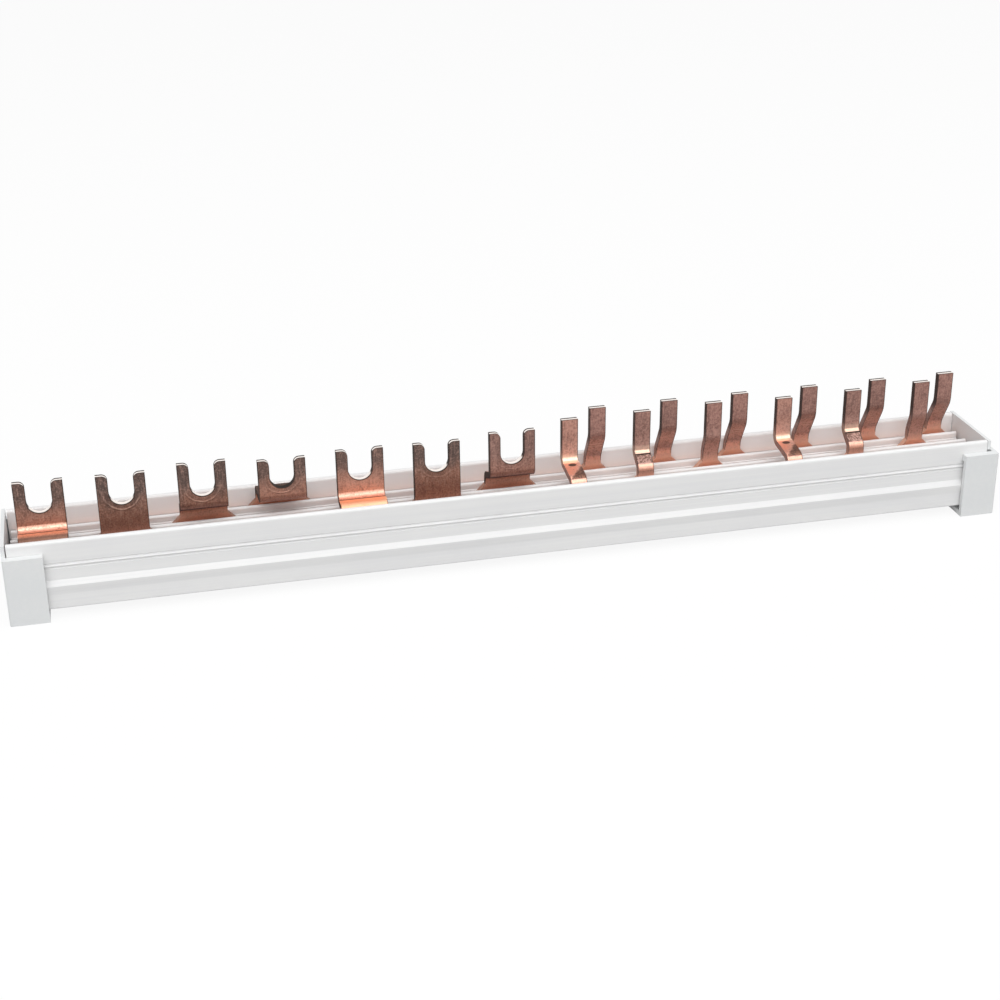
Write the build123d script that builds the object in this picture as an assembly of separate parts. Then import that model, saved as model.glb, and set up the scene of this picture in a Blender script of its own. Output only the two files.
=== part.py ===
import os
from math import hypot

from build123d import *

os.makedirs("parts", exist_ok=True)

# Modules along the rail, from left to right: forks first, then pairs of pins
module_pitch = 17.8
fork_bars = (1, 2, 3, 4, 1, 2, 3)
pin_bars = (1, 2, 3, 1, 2, 3)
neutral_bar = 4
bar_count = 4

# Trough shaped housing, open at the top, a little longer than its modules
housing_extra = 0.5
housing_width = 20.4
wall = 1.5
wall_height = 16.3
rim_radius = 0.7
floor = 1.2
partition = 1.0
partition_height = 12.9
partition_setback = 0.6
bead_radius = 0.3
bead_drop = 1.9
foot_out = 0.4
foot_height = 3.4
bulge_out = 0.7
bulge_height = 5.6
bulge_top = 6.9
groove_radius = 0.25
groove_heights = (9.83, 10.85)
ridge_radius = 0.2
ridge_out = 0.15
edge_round = 0.3

# Copper bars and the shoulders where their tabs begin
bar_thick = 1.5
bar_gap = 0.3
bar_top = 11.4
bar_inset = 1.0
root_flare = 2.0

# Height where a tab first bends above its bar
first_bend = 15.6
shelf_bend_radius = 2.0

# Forks, all brought into the plane of the second bar
fork_width = 10.8
fork_shift = -1.17
notch_width = 5.6
notch_floor = 20.2
notch_lead = 1.3

# Height of the fork tips and how far each bar's forks differ from it
fork_tip = 27.6
fork_tip_change = {1: 0, 2: -0.25, 3: 0.6, 4: -0.5}

# Shelf from each bar to its fork: change in its first bend, and its rise to the fork
shelf_change = {1: -0.1, 3: 0.2, 4: 0.7}
shelf_rise = {1: 0, 3: 1.8, 4: 1.05}
fork_bend_radius = {1: 2.0, 3: 1.25, 4: 1.25}

# Pins, brought into two planes of their own
pin_width = 3.9
front_pin_plane = 1.05
front_pin_shift = -4.21
back_pin_plane = 3.97
back_pin_shift = 3.4

# Height of the pin tips and how far each bar's pins differ from it
pin_tip = 28.3
pin_tip_change = {1: 0, 2: 0.2, 3: 0.6, 4: 1.1}

# Lean from each bar to its pins: change in its first bend, and its rise to the pin
lean_change = {1: 0.7, 2: 0, 3: 0.3, 4: 0}
lean_rise = {1: 1.2, 2: 2.7, 3: 4.2, 4: 6.4}
pin_bend_radius = {1: 1.8, 2: 1.25, 3: 4.0, 4: 4.0}

# End caps
cap_width = 24.4
cap_wall = 1.15
cap_length = 8.7
cap_top = 13.57
cap_gap_below = 1.2
cap_clearance = 0.1
lip_height = 1.6
plate = 0.8
left_gap = 0.3
right_gap = 0.1
ledge_groove = 0.4
ledge_groove_depth = 1.2
plate_slot = 1.4
plate_slot_height = 1.7
left_reach = left_gap + plate
right_reach = 2.4
cap_corner = 0.5
seat_inset = 1.5

# Sizes that follow from the ones above
module_count = len(fork_bars) + len(pin_bars)
housing_length = module_count * module_pitch + housing_extra
half_width = housing_width / 2
ridge_height = (groove_heights[0] + groove_heights[1]) / 2
bar_room = housing_width - 2 * (wall + bar_gap) - bar_thick
bar_pitch = bar_room / (bar_count - 1)
bar_length = housing_length - 2 * bar_inset
lift = cap_gap_below + cap_wall
middle = (left_reach - right_reach) / 2


def module_x(index):
    # Centre of a module, counted from zero at the left end
    return (index - (module_count - 1) / 2) * module_pitch


def bar_plane(number):
    # Bars are counted from the front
    return (number - (bar_count + 1) / 2) * bar_pitch


def wall_section():
    # Back wall seen from the end; the front wall is its mirror image
    outside = Polyline(
        (half_width + bulge_out, bulge_height),
        (half_width, bulge_top),
        (half_width, wall_height),
        (half_width - wall, wall_height),
        (half_width - wall, 0),
        (half_width + foot_out, 0),
        (half_width + foot_out, foot_height),
    )
    belly = Spline(
        (half_width + foot_out, foot_height),
        (half_width + bulge_out, bulge_height),
        tangents=((0, 1), (0, 1)),
    )
    section = make_face([*outside.edges(), belly])
    rim = [v for v in section.vertices() if v.Y > wall_height - 0.01]
    section = fillet(rim, rim_radius)
    foot = [v for v in section.vertices() if v.Y < 0.01 and v.X > half_width]
    section = fillet(foot, edge_round)
    section += Pos(half_width + ridge_out - ridge_radius, ridge_height) * Circle(ridge_radius)
    for height in groove_heights:
        section -= Pos(half_width, height) * Circle(groove_radius)
    return section


def partition_section():
    # Upright divider with a round top and a small bead along its front face
    straight = partition_height - partition / 2
    section = Pos(0, straight / 2) * Rectangle(partition, straight)
    section += Pos(0, straight) * Circle(partition / 2)
    section += Pos(-partition / 2, partition_height - bead_drop) * Circle(bead_radius)
    return section


def housing():
    section = Pos(0, floor / 2) * Rectangle(housing_width, floor)
    for side in (wall_section(), mirror(wall_section(), Plane.YZ)):
        section += side
    trough = extrude(Plane.YZ * section, amount=housing_length / 2, both=True)
    reach = housing_length / 2 - partition_setback
    for gap in range(1, bar_count):
        divider_y = (bar_plane(gap) + bar_plane(gap + 1)) / 2
        divider = Pos(divider_y, 0) * partition_section()
        trough += extrude(Plane.YZ * divider, amount=reach, both=True)
    return trough


def blade_outline(width, tip):
    # A tab seen from the front, with sloping shoulders down to its bar
    side = width / 2
    foot = side + root_flare
    overlap = bar_thick
    corners = Polyline(
        (-foot, bar_top - overlap),
        (-foot, bar_top),
        (-side, bar_top + root_flare),
        (-side, tip),
        (side, tip),
        (side, bar_top + root_flare),
        (foot, bar_top),
        (foot, bar_top - overlap),
        close=True,
    )
    return make_face(corners)


def fork_outline(tip):
    radius = notch_width / 2
    centre = notch_floor + radius
    outline = blade_outline(fork_width, tip)
    outline -= Pos(0, centre) * Circle(radius)
    outline -= Pos(0, centre + tip / 2) * Rectangle(notch_width, tip)
    mouth = [
        v
        for v in outline.vertices()
        if v.Y > tip - 0.01 and abs(v.X) < radius + 0.01
    ]
    return fillet(mouth, notch_lead)


def widest_bend(run, rise):
    # Largest radius at which two bends still fit on one sloping stretch
    length = hypot(run, rise)
    return 0.49 * length * run / (length - rise)


def bent_tab(outline, path, radii):
    # Sheet bent along the path, trimmed to the outline
    if radii:
        limit = widest_bend(abs(path[2][0] - path[1][0]), path[2][1] - path[1][1])
        line = FilletPolyline(*path, radius=[min(radius, limit) for radius in radii])
    else:
        line = Line(*path)
    sheet = extrude(Plane.YZ * trace(line, bar_thick), amount=module_pitch / 2, both=True)
    return sheet & extrude(Plane.XZ * outline, amount=housing_width, both=True)


def fork_tab(number):
    # The fork stands in the plane of the second bar, reached over a shelf
    start = bar_plane(number)
    end = bar_plane(2)
    tip = fork_tip + fork_tip_change[number]
    path = [(start, bar_top - bar_thick), (end, tip)]
    radii = []
    if number in shelf_change:
        low = first_bend + shelf_change[number]
        path[1:1] = [(start, low), (end, low + shelf_rise[number])]
        radii = [shelf_bend_radius, fork_bend_radius[number]]
    return bent_tab(fork_outline(tip), path, radii)


def pin_tab(number, plane):
    # The pin leans from its bar into the pin plane and then stands upright
    start = bar_plane(number)
    tip = pin_tip + pin_tip_change[number]
    low = first_bend + lean_change[number]
    high = low + lean_rise[number]
    path = [(start, bar_top - bar_thick), (start, low), (plane, high), (plane, tip)]
    radii = [pin_bend_radius[number]] * 2
    return bent_tab(blade_outline(pin_width, tip), path, radii)


def tabs_of(number):
    # Every tab that belongs to one bar, each at its own module
    tabs = []
    for index, owner in enumerate(fork_bars):
        if owner == number:
            tabs.append(Pos(module_x(index) + fork_shift, 0, 0) * fork_tab(number))
    for index, owner in enumerate(pin_bars, start=len(fork_bars)):
        if owner == number:
            pin = pin_tab(number, front_pin_plane)
            tabs.append(Pos(module_x(index) + front_pin_shift, 0, 0) * pin)
        if number == neutral_bar:
            pin = pin_tab(number, back_pin_plane)
            tabs.append(Pos(module_x(index) + back_pin_shift, 0, 0) * pin)
    return tabs


def copper_bar(number):
    height = bar_top - floor
    strip = Box(bar_length, bar_thick, height)
    body = Pos(0, bar_plane(number), floor + height / 2) * strip
    for tab in tabs_of(number):
        body += tab
    room = Box(bar_length, 2 * housing_width, 4 * pin_tip)
    return body & room


def block(x_from, x_to, width, z_from, z_to):
    # Box centred across the rail
    size = Box(x_to - x_from, width, z_to - z_from)
    return Pos((x_from + x_to) / 2, 0, (z_from + z_to) / 2) * size


def end_cap(reach, gap):
    # Cap for the right end; zero is the end face of the housing
    inner = reach - cap_length
    bottom = -lift
    outer = block(inner, reach, cap_width, bottom, cap_top)
    upright = outer.edges().filter_by(Axis.Z)
    end_edges = [e for e in upright if e.center().X > reach - 0.01]
    cap = fillet(end_edges, cap_corner)
    room = cap_width - 2 * cap_wall
    mouth = housing_width + 2 * cap_clearance
    cap -= block(inner - 1, gap, room, bottom + cap_wall, cap_top - lip_height)
    cap -= block(inner - 1, gap, mouth, 0, cap_top + 1)
    cap += block(gap, gap + plate, housing_width, 0, wall_height)
    if reach > gap + plate + ledge_groove:
        # The ledge is parted from the plate by a groove that runs under the plate's corners
        groove_x = gap + plate
        groove_end = groove_x + ledge_groove
        groove_z = cap_top - ledge_groove_depth
        cap -= block(groove_x, groove_end, mouth, groove_z, cap_top + 1)
        slot = block(0, groove_end, plate_slot, groove_z, groove_z + plate_slot_height)
        for side in (-1, 1):
            cap -= Pos(0, side * (mouth - plate_slot) / 2, 0) * slot
    cap += block(inner + seat_inset, gap, housing_width - 2 * wall, bottom, 0)
    return cap


to_end = Pos(housing_length / 2, 0, 0)
right_cap = to_end * end_cap(right_reach, right_gap)
left_cap = mirror(to_end * end_cap(left_reach, left_gap), Plane.YZ)

pieces = {
    "housing_profile": housing(),
    "end_cap_left": left_cap,
    "end_cap_right": right_cap,
}
for number in range(1, bar_count + 1):
    pieces[f"copper_bar_{number}"] = copper_bar(number)

for name, piece in pieces.items():
    placed = Pos(middle, 0, lift) * piece
    placed.label = name
    export_step(placed, f"parts/{name}.step")
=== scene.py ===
import math

import bpy
from mathutils import Matrix, Vector

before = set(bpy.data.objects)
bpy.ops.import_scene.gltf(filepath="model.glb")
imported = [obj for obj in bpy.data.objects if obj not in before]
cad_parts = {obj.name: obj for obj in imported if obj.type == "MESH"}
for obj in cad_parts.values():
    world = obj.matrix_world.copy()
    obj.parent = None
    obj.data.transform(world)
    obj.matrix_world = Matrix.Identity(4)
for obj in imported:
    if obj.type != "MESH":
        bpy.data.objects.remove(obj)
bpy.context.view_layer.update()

scene = bpy.context.scene
scene.view_settings.view_transform = "Standard"

MM = 0.001

# Places on the object, in millimetres in the row frame
PITCH = 17.8
FORKS_END_X = 7.0
FORK = {"first": -108.62, "plane": -2.55, "half": 5.4}
FRONT_PIN = {"first": 12.94, "plane": 1.05, "half": 1.95}
BACK_PIN = {"first": 20.55, "plane": 3.97, "half": 1.95}
NOTCH_CENTRE_Z = 25.35
GROOVES_Z = (12.18, 13.20)
STAMPS_Z = (21.4, 22.1)
WALL_OUTSIDE_Y = 10.0

# Stretches over which a mask fades, in millimetres
AGEING_X = (-120.0, -20.0)
ROSY_X = (-16.0, -8.0)
TARNISH_Z = (19.0, 27.0)
BARE_Z = (20.5, 27.0)
PIN_FOOT_Z = (19.5, 26.0)
PIN_SIDES_Z = (21.0, 25.0)
BENDS_Z = (21.6, 22.4)
FORK_SHELF_Z = (15.6, 16.4)
SHOULDERS_Z = (16.4, 17.0)
CUT_TOPS_Z = (22.0, 22.2)
TIPS_Z = (26.5, 27.5)
RING_Z = (20.5, 24.6)

# Distances from the centre of a fork's notch
NOTCH_EDGE = (2.85, 3.05)
DITCH = (3.10, 3.75)
RING = (3.90, 4.25)

# How far up a surface faces in a bend and on a shelf or slope
BEND_FACING = (0.06, 0.71)
SLOPE_FACING = (0.71, 0.77)

# Light grey plastics, each a tone and a slightly darker one
HOUSING_TONES = ((0.85, 0.85, 0.845, 1), (0.81, 0.81, 0.815, 1))
CAP_TONES = ((0.80, 0.81, 0.81, 1), (0.77, 0.785, 0.79, 1))
# Painted shade for the housing's grooves
GROOVE_PAINTED_SHADE = (0.60, 0.60, 0.61, 1)
# Painted warm bounce light from the copper, for the housing's inside
INSIDE_PAINTED_BOUNCE = (0.87, 0.855, 0.85, 1)

# Copper from bare metal to old tarnish, with colours for painted highlights, painted fill light,
# painted reflection and painted shade
# Painted highlight for the bends
BEND_PAINTED_HIGHLIGHT = (0.98, 0.70, 0.54, 1)
GLINT = (0.95, 0.88, 0.83, 1)
# Painted fill light for the roots of the tabs
ROOT_PAINTED_LIGHT = (0.98, 0.57, 0.42, 1)
# Painted highlight for bar 1's fork shelves
AMBER_PAINTED_HIGHLIGHT = (0.98, 0.50, 0.29, 1)
# Bare copper, also used as the painted highlight on bends and on slopes that face up
BARE_COPPER_AND_SHEEN = (0.74, 0.37, 0.27, 1)
# Painted fill light for the lower pins and for surfaces facing down
PINK_PAINTED_FILL = (0.74, 0.48, 0.42, 1)
STAMPED = (0.70, 0.50, 0.43, 1)
SPECK_LIGHT = (0.58, 0.35, 0.28, 1)
# Painted highlight on the pressed rings
RING_PAINTED_HIGHLIGHT = (0.48, 0.32, 0.26, 1)
ROSY = (0.36, 0.195, 0.165, 1)
BROWN = (0.30, 0.145, 0.100, 1)
# Painted dark reflection on bar 1's pin slopes
BROWN_PAINTED_REFLECTION = (0.16, 0.075, 0.05, 1)
GREY_BROWN = (0.115, 0.082, 0.072, 1)
BEND_BROWN = (0.10, 0.055, 0.04, 1)
SLOPE_BROWN = (0.085, 0.045, 0.033, 1)
# Painted shade in the ditch inside each ring
DITCH_PAINTED_SHADE = (0.075, 0.045, 0.040, 1)
SPECK_DARK = (0.070, 0.042, 0.036, 1)
# Nearly black of the cut edges, also used as painted shade and in a painted dark reflection
SHEARED_AND_SHADE_BLACK = (0.030, 0.020, 0.017, 1)

# How bare each bar is on its forks and its pins, and how strong its painted highlights are on its
# bends, its slopes and its roots
FORK_BARE = {1: 0.50, 2: 0.05, 3: 0.12, 4: 0.34}
PIN_BARE = {1: 0.80, 2: 0.25, 3: 0.12, 4: 0.10}
# Strength of the painted highlight on bends and slopes
BEND_HIGHLIGHT = {1: 1.0, 2: 1.0, 3: 0.35, 4: 0.45}
SLOPE_HIGHLIGHT = {1: 0.9, 2: 0.0, 3: 0.25, 4: 0.0}
# Strength of the painted fill light at the roots
ROOT_LIGHTENING = {1: 0.5, 2: 0.5, 3: 0.75, 4: 0.85}
FORK_ROOT_LIGHT = {1: 0.0, 2: 0.05, 3: 0.5, 4: 0.6}
PIN_ROOT_LIGHT = 0.8
RING_DEPTH = {1: 0.2, 2: 1.0, 3: 0.9, 4: 0.9}

# Depth in front of the fork and pin planes where the upper bend ends
FORK_CREASE = {1: -2.0}
PIN_CREASE = {1: -2.2, 2: -1.40}

# Height to which the painted highlight of those pins' upper bends reaches
HALO_TOP = {1: 21.9, 2: 22.2}

# How far the edges of each kind of piece are softened, in millimetres
COPPER_EDGE = 0.08
CAP_EDGE = 0.22
HOUSING_EDGE = 0.10

# Camera fitted to the photograph
CAMERA_AT = Vector((-90.88, -375.12, 187.33)) * MM
CAMERA_YAW = math.radians(13.017)
CAMERA_PITCH = math.radians(24.456)
CAMERA_ROLL = math.radians(-0.705)
CAMERA_LENS = 64.577

# Studio: the floor as the camera and as the light meet it, the world and the lamps
FLOOR_SIZE = 6.0
FLOOR_SEEN = (0.95, 0.95, 0.95, 1)
FLOOR_BOUNCE = (0.40, 0.40, 0.40, 1)
FLOOR_GLOW = 0.90
WORLD_LIGHT = 0.5
LAMPS_AIM = Vector((0, 0, 0.015))
LAMPS = (
    ("lamp_top", (0.0, -0.30, 0.90), (1.7, 1.0), 1.12),
    ("lamp_strip", (0.0, -0.62, 0.62), (1.6, 0.15), 2.4),
    ("lamp_low", (-0.2, -1.0, 0.35), (1.2, 0.5), 1.2),
)


class Nodes:
    """Short hand for building one material's or world's node tree."""

    def __init__(self, owner, output="ShaderNodeOutputMaterial"):
        owner.use_nodes = True
        self.tree = owner.node_tree
        self.tree.nodes.clear()
        self.out = self.tree.nodes.new(output)
        self.place = None

    def add(self, kind, **settings):
        node = self.tree.nodes.new(kind)
        for key, value in settings.items():
            setattr(node, key, value)
        return node

    def link(self, value, socket):
        """Feed a socket from another socket or with a plain value."""
        if isinstance(value, bpy.types.NodeSocket):
            self.tree.links.new(value, socket)
        else:
            socket.default_value = value

    def math(self, operation, a, b=0.0, c=0.0):
        node = self.add("ShaderNodeMath", operation=operation)
        for socket, value in zip(node.inputs, (a, b, c)):
            self.link(value, socket)
        return node.outputs[0]

    def product(self, *values, clamp=False):
        """All the values multiplied, kept between 0 and 1 if clamp is set."""
        result, *others = values
        for value in others:
            result = self.math("MULTIPLY", result, value)
        result.node.use_clamp = clamp
        return result

    def invert(self, value):
        """1 less the value."""
        return self.math("SUBTRACT", 1.0, value)

    def ramp(self, value, low, high):
        """0 at low, 1 at high, smooth between."""
        node = self.add("ShaderNodeMapRange", interpolation_type="SMOOTHSTEP")
        self.link(value, node.inputs["Value"])
        node.inputs["From Min"].default_value = low
        node.inputs["From Max"].default_value = high
        return node.outputs["Result"]

    def band(self, value, low, high, soft):
        """1 between low and high, fading over soft on both sides."""
        rise = self.ramp(value, low - soft, low + soft)
        fall = self.ramp(value, high - soft, high + soft)
        inside = self.math("SUBTRACT", rise, fall)
        inside.node.use_clamp = True
        return inside

    def mix(self, factor, a, b):
        """Colour a covered with colour b by factor."""
        node = self.add("ShaderNodeMix", data_type="RGBA")
        self.link(factor, node.inputs[0])
        self.link(a, node.inputs[6])
        self.link(b, node.inputs[7])
        return node.outputs[2]

    def blend(self, factor, a, b):
        """A number between a and b."""
        node = self.add("ShaderNodeMix", data_type="FLOAT")
        self.link(factor, node.inputs[0])
        self.link(a, node.inputs[2])
        self.link(b, node.inputs[3])
        return node.outputs[0]

    def noise(self, size, detail=3.0, roughness=0.55, shift=0.0):
        """Noise whose spots have about the given size in millimetres along each axis."""
        place = self.add("ShaderNodeMapping")
        self.link(self.coords(), place.inputs["Vector"])
        place.inputs["Location"].default_value = (shift, shift * 0.7, shift * 1.3)
        place.inputs["Scale"].default_value = tuple(1000.0 / s for s in size)
        node = self.add("ShaderNodeTexNoise")
        self.link(place.outputs[0], node.inputs["Vector"])
        node.inputs["Scale"].default_value = 1.0
        node.inputs["Detail"].default_value = detail
        node.inputs["Roughness"].default_value = roughness
        return node.outputs[0]

    def coords(self):
        if self.place is None:
            self.place = self.add("ShaderNodeTexCoord").outputs["Object"]
        return self.place

    def axes(self):
        """The x, y and z of the surface point in millimetres."""
        split = self.add("ShaderNodeSeparateXYZ")
        self.link(self.coords(), split.inputs[0])
        return [self.product(out, 1000.0) for out in split.outputs]

    def facing(self):
        """The x, y and z of the surface normal."""
        split = self.add("ShaderNodeSeparateXYZ")
        self.link(self.add("ShaderNodeNewGeometry").outputs["Normal"], split.inputs[0])
        return list(split.outputs)

    def bump(self, height, distance, strength, after=None):
        """A normal roughened by height, on top of the bump given as after."""
        node = self.add("ShaderNodeBump")
        self.link(height, node.inputs["Height"])
        node.inputs["Distance"].default_value = distance
        node.inputs["Strength"].default_value = strength
        if after is not None:
            self.link(after, node.inputs["Normal"])
        return node.outputs[0]

    def finish(self, color, roughness, normal, ior, metallic=0.0):
        shader = self.add("ShaderNodeBsdfPrincipled")
        self.link(color, shader.inputs["Base Color"])
        self.link(roughness, shader.inputs["Roughness"])
        self.link(normal, shader.inputs["Normal"])
        self.link(metallic, shader.inputs["Metallic"])
        shader.inputs["IOR"].default_value = ior
        self.link(shader.outputs[0], self.out.inputs["Surface"])


def plastic(name, tones, streaked):
    """Extruded plastic drawn along X, or moulded plastic with a fine grain."""
    material = bpy.data.materials.new(name)
    n = Nodes(material)
    if streaked:
        lines = n.noise((90.0, 0.55, 0.55), detail=4.0)
    else:
        lines = n.noise((1.1, 1.1, 1.1), detail=4.0, roughness=0.7)
    cloud = n.noise((26.0, 9.0, 9.0), detail=2.0, shift=3.1)
    grain = n.noise((0.12, 0.12, 0.12), detail=2.0, shift=7.7)
    tone = n.math("MULTIPLY_ADD", lines, 0.5, n.product(cloud, 0.5))
    color, shade = tones
    base = n.mix(n.ramp(tone, 0.36, 0.66), shade, color)
    if streaked:
        # Painted shade darkens the housing's grooves a little, and painted warm bounce light from
        # the copper makes its inside a little warmer and lighter
        x, y, z = n.axes()
        out = n.math("ABSOLUTE", y)
        outside = n.ramp(out, WALL_OUTSIDE_Y - 0.1, WALL_OUTSIDE_Y + 0.05)
        # Painted shade in each groove on the outside
        for groove in GROOVES_Z:
            line = n.band(z, groove - 0.2, groove + 0.2, 0.08)
            base = n.mix(n.product(line, outside, 0.3), base, GROOVE_PAINTED_SHADE)
        # Painted bounce light: the inside is tinted warmer and lighter
        inside = n.invert(n.ramp(out, WALL_OUTSIDE_Y - 1.0, WALL_OUTSIDE_Y - 0.4))
        base = n.mix(n.product(inside, 0.9), base, INSIDE_PAINTED_BOUNCE)
    rough = n.blend(n.ramp(lines, 0.3, 0.7), 0.38, 0.52)
    normal = n.bump(lines, 0.00006 if streaked else 0.00003, 0.5)
    normal = n.bump(grain, 0.00001, 0.4, after=normal)
    n.finish(base, rough, normal, ior=1.46)
    return material


class Tab:
    """Where a surface point lies on the nearest tab of one row."""

    def __init__(self, n, x, y, row):
        shifted = n.math("SUBTRACT", x, row["first"] - PITCH / 2)
        self.across = n.math("SUBTRACT", n.math("FLOORED_MODULO", shifted, PITCH), PITCH / 2)
        self.width = n.math("DIVIDE", n.math("ABSOLUTE", self.across), row["half"])
        self.depth = n.math("SUBTRACT", y, row["plane"])
        # A random number between 0 and 1 for each tab
        step = n.math("FLOOR", n.math("DIVIDE", shifted, PITCH))
        chance = n.add("ShaderNodeTexWhiteNoise", noise_dimensions="1D")
        n.link(n.math("MULTIPLY_ADD", step, 1.37, 0.5), chance.inputs["W"])
        self.chance = chance.outputs["Value"]


class Copper:
    """Rolled copper, browned on its faces, painted bright in its bends as a painted highlight, dark
    on its cut edges.
    """

    def __init__(self, name, bar):
        self.bar = bar
        self.material = bpy.data.materials.new(name)
        self.n = n = Nodes(self.material)
        self.x, y, self.z = n.axes()
        self.to_side, self.to_front, self.to_top = n.facing()
        self.fork = Tab(n, self.x, y, FORK)
        self.pin = Tab(n, self.x, y, BACK_PIN if bar == 4 else FRONT_PIN)
        self.pins = n.ramp(self.x, FORKS_END_X - 0.5, FORKS_END_X + 0.5)
        self.forks = n.invert(self.pins)
        self.depth = n.blend(self.pins, self.fork.depth, self.pin.depth)
        self.chance = n.blend(self.pins, self.fork.chance, self.pin.chance)
        self.along = n.ramp(self.x, *AGEING_X)

        self.grain = n.noise((0.20, 0.20, 2.8), detail=4.0, roughness=0.65)
        self.speck = n.noise((0.42, 0.42, 0.42), detail=2.0, roughness=0.6, shift=4.2)
        self.mottle = n.noise((1.0, 1.0, 1.4), detail=5.0, roughness=0.7, shift=8.4)
        self.patch = n.noise((4.5, 4.5, 4.0), detail=4.0, roughness=0.6, shift=1.7)

        # Bends, shelves and slopes, all below the upright stretch of a tab
        self.under = n.invert(n.ramp(self.z, *BENDS_Z))
        self.bend = n.product(n.band(self.to_top, *BEND_FACING, 0.05), BEND_HIGHLIGHT[bar])
        self.slope = n.ramp(self.to_top, *SLOPE_FACING)

        self.dark = 0.0
        self.tarnish()
        self.paint_low_fill_light()
        self.speckle()
        self.kept = self.keep_outer_bend() if bar == 1 else 0.0
        self.shine = self.paint_highlights()
        if bar in PIN_CREASE:
            self.paint_highlight_runout()
        self.mark_bar()
        self.press_creases()
        self.ring = self.press_ring()
        self.darken_cuts()
        self.cut_tops()
        self.finish()

    def paint(self, amount, color):
        """Lay a colour over the face, by amount."""
        self.face = self.n.mix(amount, self.face, color)

    def darken(self, amount):
        """Mark where the face ends up nearly black."""
        self.dark = self.n.math("MAXIMUM", self.dark, amount)

    def tarnish(self):
        """Tarnish is oldest at the tips of the tabs and thins towards their roots."""
        n, bar = self.n, self.bar
        height = n.math("MULTIPLY_ADD", self.patch, 8.0, n.math("SUBTRACT", self.z, 4.0))
        self.face = n.mix(n.ramp(height, *TARNISH_Z), BROWN, GREY_BROWN)
        rosy = n.product(self.pins, n.blend(self.chance, 0.65, 0.95))
        rosy = n.math("MAXIMUM", rosy, n.product(n.ramp(self.x, *ROSY_X), 0.5))
        self.paint(rosy, ROSY)

        bare = n.blend(self.pins, FORK_BARE[bar], PIN_BARE[bar])
        on_forks = n.blend(self.along, 0.7, 1.5)
        on_pins = n.blend(self.chance, 0.75, 1.2)
        uneven = n.blend(self.pins, on_forks, on_pins)
        upward = n.blend(n.ramp(height, *BARE_Z), 1.0, n.blend(self.pins, 0.08, 0.35))
        patchy = n.blend(n.ramp(self.patch, 0.3, 0.65), 0.6, 1.25)
        self.paint(n.product(bare, uneven, upward, patchy, clamp=True), BARE_COPPER_AND_SHEEN)

    def paint_low_fill_light(self):
        """Painted fill light: the lower stretch of each pin, and what leans over to face down, is
        painted redder and lighter where shade falls.
        """
        n = self.n
        lower = n.product(self.pins, n.invert(n.ramp(self.z, *PIN_FOOT_Z)))
        over = n.ramp(n.product(self.to_top, -1.0), 0.08, 0.45)
        lower = n.math("MAXIMUM", lower, n.product(over, 0.8))
        self.paint(n.product(lower, 0.62), PINK_PAINTED_FILL)

    def speckle(self):
        """Mottled and specked all over, with fine light and dark lines along the rolling."""
        n = self.n
        for noise, low, high, amount, color in (
            (self.mottle, 0.50, 0.64, 0.34, SPECK_DARK),
            (self.mottle, 0.47, 0.34, 0.26, SPECK_LIGHT),
            (self.speck, 0.50, 0.62, 0.26, SPECK_DARK),
            (self.speck, 0.46, 0.36, 0.22, SPECK_LIGHT),
            (self.grain, 0.52, 0.70, 0.32, SPECK_LIGHT),
            (self.grain, 0.47, 0.30, 0.32, SPECK_DARK),
        ):
            self.paint(n.product(n.ramp(noise, low, high), amount), color)

    def keep_outer_bend(self):
        """The outer bend of bar 1's forks has kept its tarnish, more so at the left."""
        n = self.n
        outer = n.invert(n.ramp(self.fork.depth, -4.3, -3.3))
        kept = n.product(outer, self.forks, n.blend(self.along, 1.0, 0.1))
        self.paint(n.product(kept, 0.8), BEND_BROWN)
        return kept

    def paint_highlights(self):
        """Painted highlights in the bends and on slopes that face up, and painted fill light at the
        roots, broken by worn specks.
        """
        n, bar = self.n, self.bar
        # Painted fill light at the roots, which sit in shade
        root_top = n.math("MULTIPLY_ADD", self.mottle, 2.0, 14.6)
        root = n.invert(n.ramp(n.math("SUBTRACT", self.z, root_top), -0.6, 3.4))
        shine = n.math("MULTIPLY_ADD", self.slope, SLOPE_HIGHLIGHT[bar], self.bend)
        shine = n.math("MAXIMUM", shine, n.product(root, ROOT_LIGHTENING[bar]))
        worn_specks = n.blend(n.ramp(self.speck, 0.50, 0.66), 1.0, 0.45)
        worn_spots = n.blend(n.ramp(self.mottle, 0.48, 0.66), 1.0, 0.6)
        shine = n.product(shine, self.under, worn_specks, worn_spots, clamp=True)
        shine = n.product(shine, n.invert(self.kept))
        # Painted highlight on bends and on slopes that face up, and at the roots
        self.paint(shine, BARE_COPPER_AND_SHEEN)

        inner = n.ramp(self.depth, -3.0, -2.2)
        # Brighter painted highlight in the bends
        bend_sheen = n.product(shine, self.bend, n.blend(self.chance, 0.45, 0.8))
        bend_sheen = n.product(bend_sheen, n.blend(inner, 0.35, n.blend(self.pins, 0.55, 1.0)))
        self.paint(bend_sheen, BEND_PAINTED_HIGHLIGHT)
        # Painted fill light at the feet of the tabs
        root_light = n.product(root, root, n.blend(self.pins, FORK_ROOT_LIGHT[bar], PIN_ROOT_LIGHT))
        self.paint(root_light, ROOT_PAINTED_LIGHT)
        return shine

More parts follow.
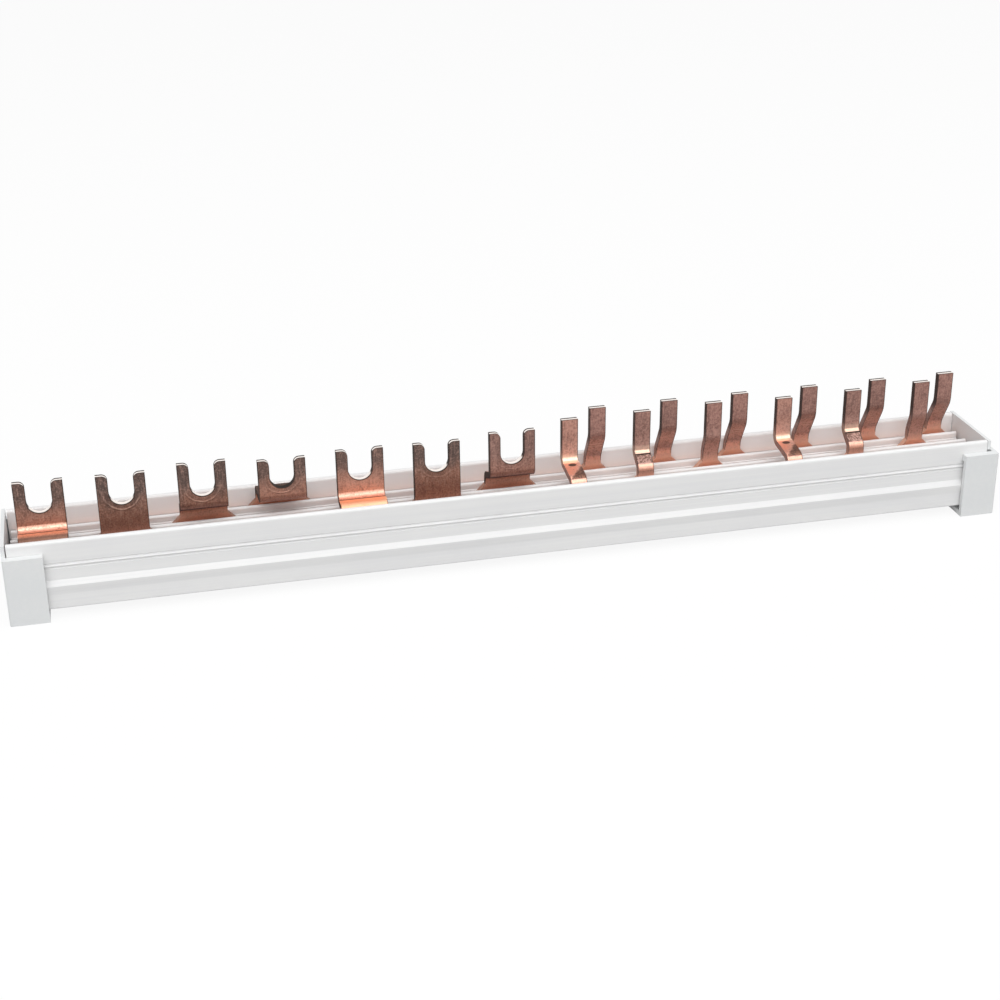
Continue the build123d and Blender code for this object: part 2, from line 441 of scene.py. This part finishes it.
    def paint_highlight_runout(self):
        """The painted highlight of the upper bend runs out onto the pins' slopes and a little way
        up.
        """
        n, bar = self.n, self.bar
        end = PIN_CREASE[bar]
        run = n.product(n.ramp(self.depth, end - 0.1, end + 0.1), self.slope, self.pins, self.under)
        halo = n.product(n.band(self.z, 19.5, HALO_TOP[bar], 0.5), self.pins)
        halo = n.product(halo, n.ramp(self.depth, -1.4, -1.1), 0.6)
        run = n.product(n.math("MAXIMUM", run, halo), n.blend(self.chance, 0.7, 0.95))
        self.paint(run, BEND_PAINTED_HIGHLIGHT)

    def mark_bar(self):
        """What only the tabs of one bar show."""
        n, bar = self.n, self.bar
        if bar == 1:
            # Painted highlight: the forks' shelves, where they face up, are painted orange, more so
            # at the right
            glow = n.product(n.ramp(self.to_top, 0.25, 0.6), self.under, self.forks)
            glow = n.product(glow, n.invert(n.ramp(self.fork.depth, -2.3, -2.0)))
            glow = n.product(glow, n.invert(self.kept), n.blend(self.along, 0.25, 0.85))
            self.paint(glow, AMBER_PAINTED_HIGHLIGHT)
            # Painted dark reflection on the pins' slopes, at the lower right
            edge = n.math("MULTIPLY_ADD", n.math("ADD", self.pin.depth, 8.0), 0.75, -2.4)
            edge = n.math("MULTIPLY_ADD", self.mottle, 2.4, edge)
            left = n.ramp(n.math("SUBTRACT", self.pin.across, edge), -0.4, 0.4)
            left = n.product(left, n.ramp(self.pin.depth, -9.2, -8.4))
            left = n.product(left, self.pins, self.slope, 0.85)
            self.paint(left, n.mix(n.ramp(self.speck, 0.4, 0.6), BROWN_PAINTED_REFLECTION, SHEARED_AND_SHADE_BLACK))
        elif bar == 2:
            # The pins' slopes are painted dark brown in spots
            slopes = n.product(self.slope, self.pins, self.under)
            slopes = n.product(slopes, n.invert(n.ramp(self.depth, -1.45, -1.35)))
            spotted = n.blend(n.ramp(self.speck, 0.40, 0.60), 0.40, 0.80)
            self.paint(n.product(slopes, spotted), SLOPE_BROWN)
        elif bar == 3:
            # Painted shade: a dark line where the forks' undersides turn to face down
            self.darken(n.product(n.ramp(self.to_top, -0.55, -0.75), self.forks, 0.85))
        else:
            # Painted shade: the fork's shelf is painted nearly black, the top of the bar isn't
            shelf_shade = n.product(self.slope, self.forks, self.under)
            self.darken(n.product(shelf_shade, n.ramp(self.z, *FORK_SHELF_Z), 0.85))
            # Two fine lines stamped across the pins
            for stamp in STAMPS_Z:
                line = n.band(self.z, stamp - 0.12, stamp + 0.12, 0.06)
                line = n.product(line, self.pins, n.blend(self.chance, 0.2, 0.6))
                self.paint(line, STAMPED)

    def press_creases(self):
        """Dark lines where the upper bends end."""
        n, bar = self.n, self.bar
        faces_up = n.ramp(self.to_top, 0.3, 0.5)
        if bar in FORK_CREASE:
            end = FORK_CREASE[bar]
            line = n.band(self.depth, end - 0.34, end, 0.05)
            self.darken(n.product(line, self.forks, faces_up, 0.9))
        if bar == 1:
            # On this bar's pins the crease is a short oval dent
            down = n.math("MULTIPLY_ADD", self.depth, 1.5, -1.5 * (PIN_CREASE[bar] - 0.85))
            aside = self.pin.across
            oval = n.math("ADD", n.product(down, down), n.product(aside, aside))
            dent = n.invert(n.ramp(oval, 0.6, 1.3))
            self.darken(n.product(dent, self.pins, faces_up, 0.9))
        elif bar in PIN_CREASE:
            end = PIN_CREASE[bar]
            line = n.band(self.depth, end - 0.34, end, 0.05)
            self.darken(n.product(line, self.pins, faces_up, 0.9))

    def press_ring(self):
        """Pressed ring round each notch, with a painted highlight on the ring and painted shade in
        the ditch inside it.
        """
        n = self.n
        aside = self.fork.across
        below = n.math("MINIMUM", n.math("SUBTRACT", self.z, NOTCH_CENTRE_Z), 0.0)
        squares = n.math("ADD", n.product(aside, aside), n.product(below, below))
        self.radius = n.math("SQRT", squares)
        wobbly = n.math("MULTIPLY_ADD", self.patch, 1.1, n.math("SUBTRACT", self.radius, 0.55))
        where = n.product(self.forks, n.band(self.z, *RING_Z, 0.9))
        where = n.product(where, n.blend(self.along, 1.0, 0.4), RING_DEPTH[self.bar])
        ring = n.product(n.band(wobbly, *RING, 0.14), where)
        ditch = n.product(n.band(wobbly, *DITCH, 0.14), where)
        drawn = n.blend(n.ramp(self.mottle, 0.35, 0.6), 0.55, 0.2)
        self.paint(n.product(ring, drawn), RING_PAINTED_HIGHLIGHT)
        self.paint(n.product(ditch, 0.35), DITCH_PAINTED_SHADE)
        return ring

    def darken_cuts(self):
        """Sheared sides are dark, and so are the edges of each face."""
        n = self.n
        side = n.ramp(n.math("ABSOLUTE", self.to_side), 0.55, 0.85)
        on_pins = n.blend(n.ramp(self.z, *PIN_SIDES_Z), 0.45, 0.9)
        self.darken(n.product(side, n.blend(self.pins, 0.95, on_pins)))
        flat = n.ramp(n.math("ABSOLUTE", self.to_front), 0.2, 0.4)
        of_fork = n.ramp(self.fork.width, 0.955, 0.985)
        of_pin = n.ramp(self.pin.width, 0.90, 0.95)
        edge = n.product(n.blend(self.pins, of_fork, of_pin), n.ramp(self.z, *SHOULDERS_Z))
        notch = n.product(self.forks, n.invert(n.ramp(self.radius, *NOTCH_EDGE)))
        self.darken(n.product(n.math("MAXIMUM", edge, notch), flat, 0.75))

    def cut_tops(self):
        """The sheared tops and notch floors are dark at the front and glint behind."""
        n = self.n
        top = n.product(n.ramp(self.to_top, 0.35, 0.6), n.ramp(self.z, *CUT_TOPS_Z))
        in_notch = -2.0 if self.bar == 4 else 2.0
        back = n.blend(n.ramp(self.z, *TIPS_Z), in_notch, 0.22)
        past = n.ramp(n.math("SUBTRACT", self.depth, back), -0.08, 0.08)
        glint = n.math("SUBTRACT", n.ramp(self.depth, -0.50, -0.38), past)
        glint = n.product(glint, top, clamp=True)
        self.darken(top)
        self.dark = n.product(self.dark, n.invert(glint))
        self.paint(glint, GLINT)
        # This nearly black covers the cut edges and also the painted shade of bars 3 and 4
        self.paint(self.dark, SHEARED_AND_SHADE_BLACK)

    def finish(self):
        """Roughness, relief and metal."""
        n = self.n
        rough = n.blend(n.ramp(self.speck, 0.3, 0.7), 0.38, 0.50)
        rough = n.blend(self.shine, rough, 0.38)
        rough = n.blend(self.dark, rough, 0.75)
        normal = n.bump(self.grain, 0.00003, 0.5)
        normal = n.bump(self.speck, 0.00006, 0.6, after=normal)
        normal = n.bump(self.mottle, 0.00008, 0.5, after=normal)
        normal = n.bump(self.ring, 0.0001, 0.7, after=normal)
        metal = n.blend(self.dark, 0.9, 0.2)
        n.finish(self.face, rough, normal, ior=1.25, metallic=metal)


def dress(piece, material, edge):
    """Give a CAD piece its material and softened edges."""
    for slot in piece.material_slots:
        slot.material = material
    soft = piece.modifiers.new("edge", "BEVEL")
    soft.width = edge * MM
    soft.segments = 2
    soft.limit_method = "ANGLE"
    soft.angle_limit = math.radians(40)
    soft.harden_normals = True


def make_camera():
    """Camera at the photograph's viewpoint."""
    yaw, pitch, roll = CAMERA_YAW, CAMERA_PITCH, CAMERA_ROLL
    forward = Vector((
        math.sin(yaw) * math.cos(pitch),
        math.cos(yaw) * math.cos(pitch),
        -math.sin(pitch),
    ))
    level = Vector((math.cos(yaw), -math.sin(yaw), 0.0))
    upright = level.cross(forward)
    right = level * math.cos(roll) + upright * math.sin(roll)
    top = upright * math.cos(roll) - level * math.sin(roll)
    data = bpy.data.cameras.new("view")
    data.sensor_width = 36.0
    data.lens = CAMERA_LENS
    data.clip_start = 0.01
    camera = bpy.data.objects.new("view", data)
    turn = Matrix((right, top, -forward)).transposed().to_4x4()
    camera.matrix_world = Matrix.Translation(CAMERA_AT) @ turn
    scene.collection.objects.link(camera)
    scene.camera = camera


def seen_straight(n):
    """1 for what the camera, a reflection or clear glass shows, 0 for light that lands."""
    path = n.add("ShaderNodeLightPath")
    seen = n.math("MAXIMUM", path.outputs["Is Camera Ray"], path.outputs["Is Glossy Ray"])
    return n.math("MAXIMUM", seen, path.outputs["Is Transmission Ray"])


def make_floor():
    """White floor that still takes the object's soft shadow."""
    bpy.ops.mesh.primitive_plane_add(size=FLOOR_SIZE, location=(0, 0, 0))
    floor = bpy.context.object
    floor.name = "floor"
    material = bpy.data.materials.new("floor_white")
    n = Nodes(material)
    seen = seen_straight(n)
    base = n.add("ShaderNodeBsdfDiffuse")
    n.link(n.mix(seen, FLOOR_BOUNCE, FLOOR_SEEN), base.inputs["Color"])
    glow = n.add("ShaderNodeEmission")
    glow.inputs["Strength"].default_value = 1.0
    mixed = n.add("ShaderNodeMixShader")
    n.link(n.product(seen, FLOOR_GLOW), mixed.inputs[0])
    n.link(base.outputs[0], mixed.inputs[1])
    n.link(glow.outputs[0], mixed.inputs[2])
    n.link(mixed.outputs[0], n.out.inputs["Surface"])
    floor.data.materials.append(material)


def make_world():
    """White to the camera and in reflections, softer as a light."""
    world = bpy.data.worlds.new("studio")
    scene.world = world
    n = Nodes(world, "ShaderNodeOutputWorld")
    background = n.add("ShaderNodeBackground")
    n.link(n.blend(seen_straight(n), WORLD_LIGHT, 1.0), background.inputs["Strength"])
    background.inputs["Color"].default_value = (1, 1, 1, 1)
    n.link(background.outputs[0], n.out.inputs["Surface"])


def softbox(name, at, size, radiance):
    """Rectangular lamp aimed at the object; radiance 1 is as bright as white paper."""
    data = bpy.data.lights.new(name, "AREA")
    data.shape = "RECTANGLE"
    data.size, data.size_y = size
    data.energy = radiance * math.pi * size[0] * size[1]
    lamp = bpy.data.objects.new(name, data)
    lamp.location = at
    lamp.rotation_euler = (LAMPS_AIM - Vector(at)).to_track_quat("-Z", "Y").to_euler()
    lamp.visible_camera = False
    scene.collection.objects.link(lamp)


housing_plastic = plastic("housing_plastic", HOUSING_TONES, streaked=True)
cap_plastic = plastic("cap_plastic", CAP_TONES, streaked=False)

for name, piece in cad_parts.items():
    if name.startswith("copper"):
        dress(piece, Copper(name, bar=int(name[-1])).material, COPPER_EDGE)
    elif name.startswith("end_cap"):
        dress(piece, cap_plastic, CAP_EDGE)
    else:
        dress(piece, housing_plastic, HOUSING_EDGE)

make_camera()
make_floor()
make_world()
for lamp in LAMPS:
    softbox(*lamp)
